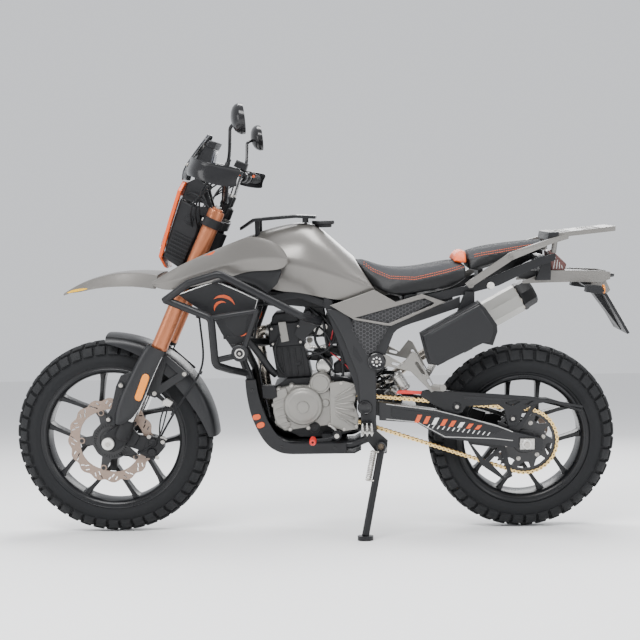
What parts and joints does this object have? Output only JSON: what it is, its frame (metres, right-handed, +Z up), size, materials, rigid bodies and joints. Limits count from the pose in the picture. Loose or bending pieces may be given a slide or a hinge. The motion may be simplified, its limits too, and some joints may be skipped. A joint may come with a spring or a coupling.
{
  "type": "dual sport motorcycle",
  "caption": "Dual sport motorcycle on its side stand: upside-down fork, cast wheels with block tyres, high beak, crash bars, stepped seat and rear rack.",
  "frame": {"origin": "bottom centre of the bounding box, on the ground", "axes": "+X towards the rear, -X the front, -Y the left side, +Z up; the machine leans 9 degrees to its left on its stand"},
  "size_m": [2.111, 0.8826, 1.4648],
  "materials": {
    "body_gray": "satin",
    "black_plastic": "matt",
    "orange_plastic": "gloss",
    "frame_black": "satin",
    "rim_black": "satin",
    "tyre": "matt",
    "cast_alloy": "satin",
    "black_alloy": "satin",
    "copper_anodised": "satin",
    "chrome": "polished",
    "disc_steel": "satin",
    "chain_gold": "satin",
    "seat_cover": "matt",
    "rack_silver": "satin",
    "exhaust_silver": "satin",
    "hose_rubber": "matt",
    "lens_red": "gloss",
    "steel": "satin",
    "smoked": "gloss"
  },
  "bodies": {
    "chassis": {"air_box": "black_plastic", "beak": "body_gray", "chain": "chain_gold", "chain_guard": "black_plastic", "crankcase": "black_alloy", "crash_bars": "frame_black", "cylinder_head": "black_alloy", "exhaust": "exhaust_silver", "foot_controls": "steel", "front_shrouds": "body_gray", "fuel_tank": "body_gray", "indicators": "black_plastic", "left_engine_cover": "cast_alloy", "main_frame": "frame_black", "pillion_pegs": "cast_alloy", "pillion_seat": "seat_cover", "pivot_bolt": "frame_black", "radiator_covers": "black_plastic", "radiators": "black_alloy", "rear_axle": "steel", "rear_caliper": "black_alloy", "rear_rack": "rack_silver", "rear_shock": "steel", "rider_pegs": "steel", "rider_seat": "seat_cover", "right_engine_cover": "cast_alloy", "seat_step": "orange_plastic", "side_panels": "body_gray", "skid_plate": "black_plastic", "stand_bracket": "frame_black", "subframe": "frame_black", "swingarm": "black_alloy", "tail_light": "lens_red", "tail_unit": "black_plastic", "tank_rack": "frame_black", "tool_box": "black_plastic"},
    "steering": {"triple_clamps": "black_alloy", "fork_tubes": "copper_anodised", "fork_legs": "chrome", "fork_guards": "black_plastic", "front_axle": "steel", "front_fender": "black_plastic", "fender_brackets": "frame_black", "front_caliper": "black_alloy", "front_brake_hose": "hose_rubber", "handlebar": "frame_black", "hand_controls": "black_alloy", "hand_guards": "black_plastic", "mirrors": "black_plastic", "headlight": "black_plastic", "headlight_mask": "orange_plastic", "flyscreen": "smoked"},
    "front_wheel": {"front_tyre": "tyre", "front_rim": "rim_black", "front_disc": "disc_steel"},
    "rear_wheel": {"rear_tyre": "tyre", "rear_rim": "rim_black", "rear_disc": "disc_steel", "rear_sprocket": "steel"},
    "side_stand": {"stand_leg": "frame_black"}
  },
  "joints": [
    {"name": "steering_turn", "type": "hinge", "parent": "chassis", "child": "steering", "pos_m": [-0.36173, 0.03793, 0.96923], "axis": [0.4195, -0.142, 0.8966], "range_deg": [-36, 36]},
    {"name": "front_wheel_spin", "type": "hinge", "parent": "steering", "child": "front_wheel", "pos_m": [-0.71452, 0.13772, 0.33924], "axis": [0, 0.9877, 0.1564], "continuous": true},
    {"name": "rear_wheel_spin", "type": "hinge", "parent": "chassis", "child": "rear_wheel", "pos_m": [0.70548, 0.14022, 0.32343], "axis": [0, 0.9877, 0.1564], "continuous": true},
    {"name": "stand_fold", "type": "hinge", "parent": "chassis", "child": "side_stand", "pos_m": [0.21348, -0.02358, 0.29648], "axis": [-0.123, -0.9437, 0.3072], "range_deg": [0, 98]}
  ]
}
